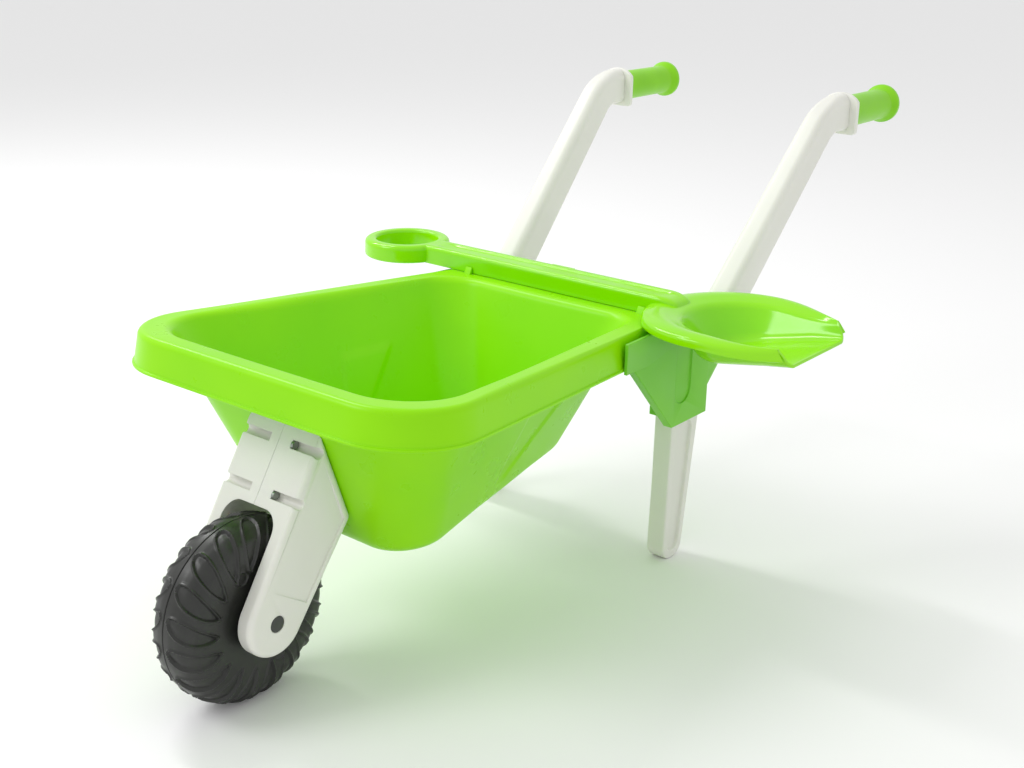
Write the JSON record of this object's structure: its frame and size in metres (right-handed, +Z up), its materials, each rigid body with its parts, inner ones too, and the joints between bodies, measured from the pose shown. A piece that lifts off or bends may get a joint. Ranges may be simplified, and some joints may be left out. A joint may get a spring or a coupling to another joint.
{
  "type": "toy wheelbarrow",
  "caption": "Child's moulded plastic wheelbarrow with a single front wheel in a fork, two bent handles with grips, rear legs and a lift-off shovel lying across the rear rim.",
  "frame": {"origin": "on the ground, at the middle of the box around the whole barrow with its shovel", "axes": "+Z up; +Y from the wheel back to the grips; +X to the side where the shovel's scoop sticks out, which is the user's left"},
  "size_m": [0.4808, 0.803, 0.3918],
  "materials": {
    "green_plastic": "smooth gloss moulding with soft mould-flow waviness",
    "grip_plastic": "satin gloss",
    "white_plastic": "satin, slightly warm white",
    "black_plastic": "satin black with moulded tread lugs",
    "cap_plastic": "satin black",
    "steel": "plain drawn rod",
    "screw_steel": "zinc-plated screws"
  },
  "bodies": {
    "barrow": {"tray": "green_plastic", "bracket_left": "green_plastic", "bracket_right": "green_plastic", "leg_left": "white_plastic", "leg_right": "white_plastic", "handle_left": "white_plastic", "handle_right": "white_plastic", "grip_left": "grip_plastic", "grip_right": "grip_plastic", "fork_left": "white_plastic", "fork_right": "white_plastic", "axle": "steel", "axle_caps": "cap_plastic", "fork_screws": "screw_steel", "fork_mount_screws": "screw_steel", "handle_screws": "screw_steel", "leg_screws": "screw_steel", "bracket_screws": "screw_steel"},
    "wheel": {"wheel_shell_left": "black_plastic", "wheel_shell_right": "black_plastic"},
    "shovel": {"shovel": "green_plastic"}
  },
  "joints": [
    {"name": "wheel_spin", "type": "hinge", "parent": "barrow", "child": "wheel", "pos_m": [-0.01261, -0.3305, 0.071], "axis": [1, 0, 0], "continuous": true},
    {"name": "shovel_lift", "type": "slide", "parent": "barrow", "child": "shovel", "axis": [0, 0, 1], "range_m": [0, 0.15]}
  ]
}
